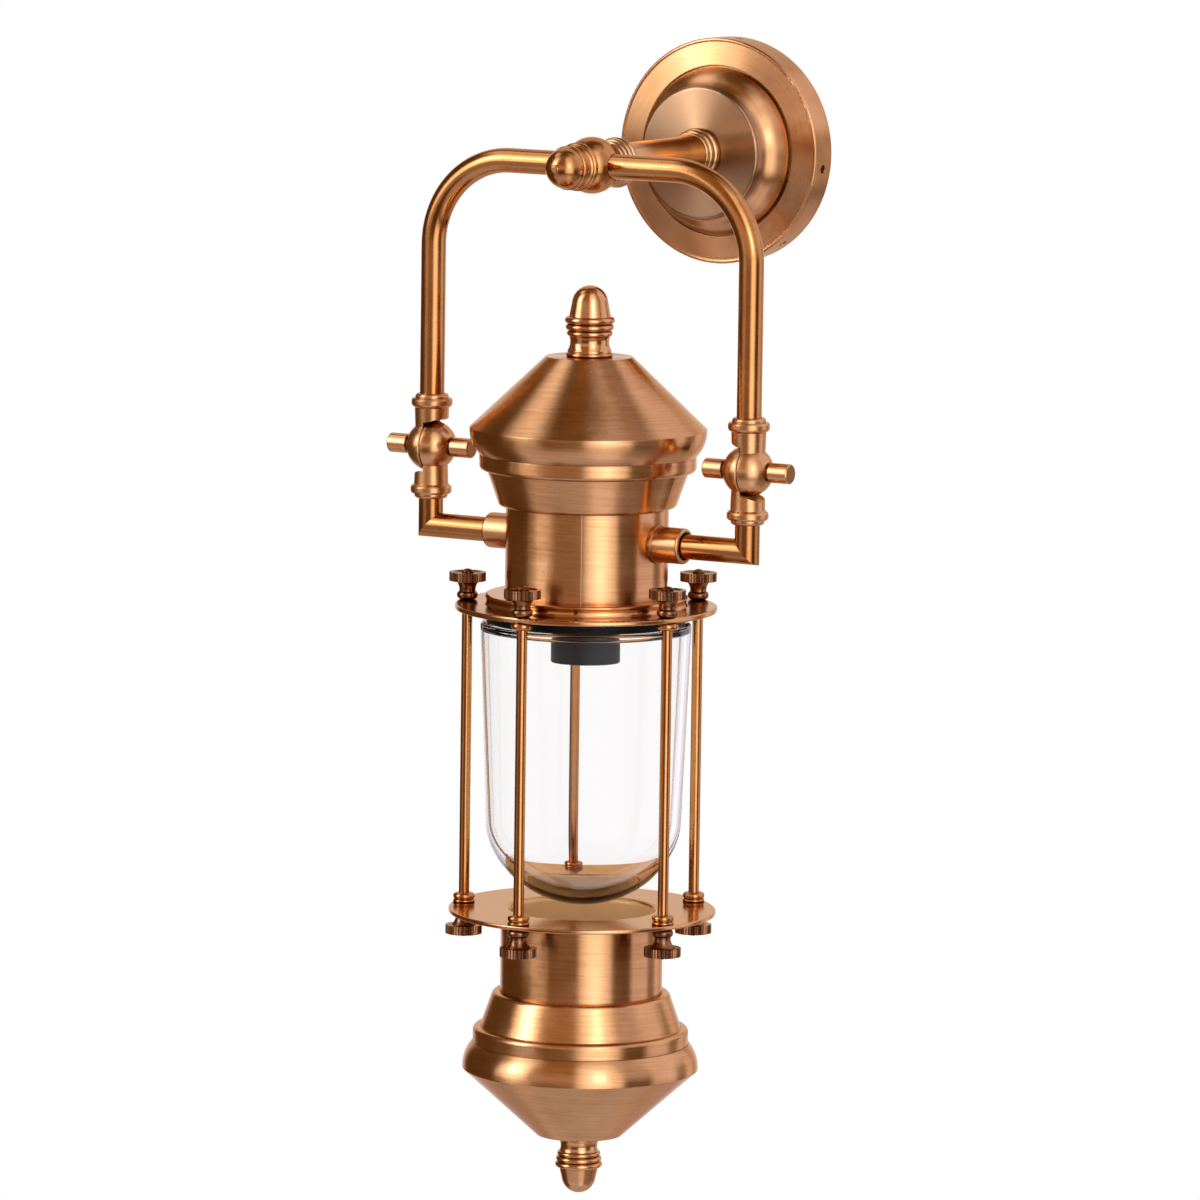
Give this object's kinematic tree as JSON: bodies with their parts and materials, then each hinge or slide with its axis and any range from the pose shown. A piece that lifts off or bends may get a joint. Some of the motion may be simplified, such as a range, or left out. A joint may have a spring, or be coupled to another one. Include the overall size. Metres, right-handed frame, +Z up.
{
  "type": "outdoor wall light",
  "caption": "Antique brass outdoor wall light: round rose, arm with ball hub, bent tube yoke and a tilting lantern with a clear glass jar in a cage of tie rods.",
  "frame": {"origin": "on the wall plane, on the axis of the arm, at the middle of the two wall screw slots", "axes": "-Y runs out of the wall along the arm, +X is to the right as seen from the front, +Z is up"},
  "size_m": [0.2624, 0.2374, 0.6507],
  "materials": {
    "brushed_brass": "antique brass, brushed around its axis and lacquered",
    "polished_brass": "antique brass, turned and polished",
    "dark_brass": "darkened brass, knurled or slotted",
    "plain_brass": "bright stamped brass",
    "zinc_steel": "zinc-plated steel",
    "black_plastic": "matt black moulding",
    "white_plastic": "white moulding",
    "gasket_rubber": "matt black sheet",
    "clear_glass": "clear blown glass"
  },
  "bodies": {
    "wall_arm": {"rose_cover": "brushed_brass", "rose_bracket": "zinc_steel", "rose_screws": "dark_brass", "terminal_block": "white_plastic", "arm_collar": "polished_brass", "arm_tube": "brushed_brass", "arm_nipple": "zinc_steel", "arm_lock_nut": "zinc_steel", "bead_coupling": "polished_brass", "yoke_hub": "brushed_brass", "nose_finial": "polished_brass", "yoke_tube_left": "brushed_brass", "yoke_tube_right": "brushed_brass", "upper_knuckle_left": "brushed_brass", "upper_knuckle_right": "brushed_brass", "pivot_stud_left": "zinc_steel", "pivot_stud_right": "zinc_steel"},
    "lantern": {"lower_knuckle_left": "brushed_brass", "lower_knuckle_right": "brushed_brass", "elbow_left": "brushed_brass", "elbow_right": "brushed_brass", "elbow_bosses": "brushed_brass", "lock_nuts": "zinc_steel", "roof_finial": "polished_brass", "roof_cone": "brushed_brass", "roof_cowl": "brushed_brass", "bridge_bars": "zinc_steel", "finial_bolts": "zinc_steel", "neck_tube": "brushed_brass", "neck_flange": "polished_brass", "flange_screws": "dark_brass", "top_plate": "polished_brass", "plate_screws": "dark_brass", "clamp_ring": "black_plastic", "glass_gasket": "gasket_rubber", "glass_jar": "clear_glass", "lamp_holder": "black_plastic", "screw_shell": "plain_brass", "holder_contact": "plain_brass", "holder_strap": "zinc_steel", "tie_rods": "brushed_brass", "bottom_plate": "polished_brass", "lower_tube": "brushed_brass", "lower_cowl": "brushed_brass", "lower_cone": "brushed_brass", "bottom_finial": "polished_brass"},
    "upper_thumb_nut_1": {"upper_thumb_nut_1": "dark_brass"},
    "upper_thumb_nut_2": {"upper_thumb_nut_2": "dark_brass"},
    "upper_thumb_nut_3": {"upper_thumb_nut_3": "dark_brass"},
    "upper_thumb_nut_4": {"upper_thumb_nut_4": "dark_brass"},
    "upper_thumb_nut_5": {"upper_thumb_nut_5": "dark_brass"},
    "lower_thumb_nut_1": {"lower_thumb_nut_1": "dark_brass"},
    "lower_thumb_nut_2": {"lower_thumb_nut_2": "dark_brass"},
    "lower_thumb_nut_3": {"lower_thumb_nut_3": "dark_brass"},
    "lower_thumb_nut_4": {"lower_thumb_nut_4": "dark_brass"},
    "lower_thumb_nut_5": {"lower_thumb_nut_5": "dark_brass"},
    "barrel_nut_left_outer": {"barrel_nut_left_outer": "polished_brass"},
    "barrel_nut_left_inner": {"barrel_nut_left_inner": "polished_brass"},
    "barrel_nut_right_inner": {"barrel_nut_right_inner": "polished_brass"},
    "barrel_nut_right_outer": {"barrel_nut_right_outer": "polished_brass"}
  },
  "joints": [
    {"name": "lantern_tilt", "type": "hinge", "parent": "wall_arm", "child": "lantern", "pos_m": [0, -0.158, -0.165], "axis": [-1, 0, 0], "range_deg": [-12, 75]},
    {"name": "upper_thumb_nut_1_turn", "type": "hinge", "parent": "lantern", "child": "upper_thumb_nut_1", "pos_m": [0, -0.227, -0.248], "axis": [0, 0, 1], "continuous": true},
    {"name": "upper_thumb_nut_2_turn", "type": "hinge", "parent": "lantern", "child": "upper_thumb_nut_2", "pos_m": [0.06562, -0.17932, -0.248], "axis": [0, 0, 1], "continuous": true},
    {"name": "upper_thumb_nut_3_turn", "type": "hinge", "parent": "lantern", "child": "upper_thumb_nut_3", "pos_m": [0.04056, -0.10218, -0.248], "axis": [0, 0, 1], "continuous": true},
    {"name": "upper_thumb_nut_4_turn", "type": "hinge", "parent": "lantern", "child": "upper_thumb_nut_4", "pos_m": [-0.04056, -0.10218, -0.248], "axis": [0, 0, 1], "continuous": true},
    {"name": "upper_thumb_nut_5_turn", "type": "hinge", "parent": "lantern", "child": "upper_thumb_nut_5", "pos_m": [-0.06562, -0.17932, -0.248], "axis": [0, 0, 1], "continuous": true},
    {"name": "lower_thumb_nut_1_turn", "type": "hinge", "parent": "lantern", "child": "lower_thumb_nut_1", "pos_m": [0, -0.227, -0.424], "axis": [0, 0, -1], "continuous": true},
    {"name": "lower_thumb_nut_2_turn", "type": "hinge", "parent": "lantern", "child": "lower_thumb_nut_2", "pos_m": [0.06562, -0.17932, -0.424], "axis": [0, 0, -1], "continuous": true},
    {"name": "lower_thumb_nut_3_turn", "type": "hinge", "parent": "lantern", "child": "lower_thumb_nut_3", "pos_m": [0.04056, -0.10218, -0.424], "axis": [0, 0, -1], "continuous": true},
    {"name": "lower_thumb_nut_4_turn", "type": "hinge", "parent": "lantern", "child": "lower_thumb_nut_4", "pos_m": [-0.04056, -0.10218, -0.424], "axis": [0, 0, -1], "continuous": true},
    {"name": "lower_thumb_nut_5_turn", "type": "hinge", "parent": "lantern", "child": "lower_thumb_nut_5", "pos_m": [-0.06562, -0.17932, -0.424], "axis": [0, 0, -1], "continuous": true},
    {"name": "barrel_nut_left_outer_turn", "type": "hinge", "parent": "wall_arm", "child": "barrel_nut_left_outer", "pos_m": [-0.104, -0.158, -0.165], "axis": [1, 0, 0], "continuous": true},
    {"name": "barrel_nut_left_inner_turn", "type": "hinge", "parent": "lantern", "child": "barrel_nut_left_inner", "pos_m": [-0.104, -0.158, -0.165], "axis": [1, 0, 0], "continuous": true},
    {"name": "barrel_nut_right_inner_turn", "type": "hinge", "parent": "lantern", "child": "barrel_nut_right_inner", "pos_m": [0.104, -0.158, -0.165], "axis": [1, 0, 0], "continuous": true},
    {"name": "barrel_nut_right_outer_turn", "type": "hinge", "parent": "wall_arm", "child": "barrel_nut_right_outer", "pos_m": [0.104, -0.158, -0.165], "axis": [1, 0, 0], "continuous": true}
  ]
}
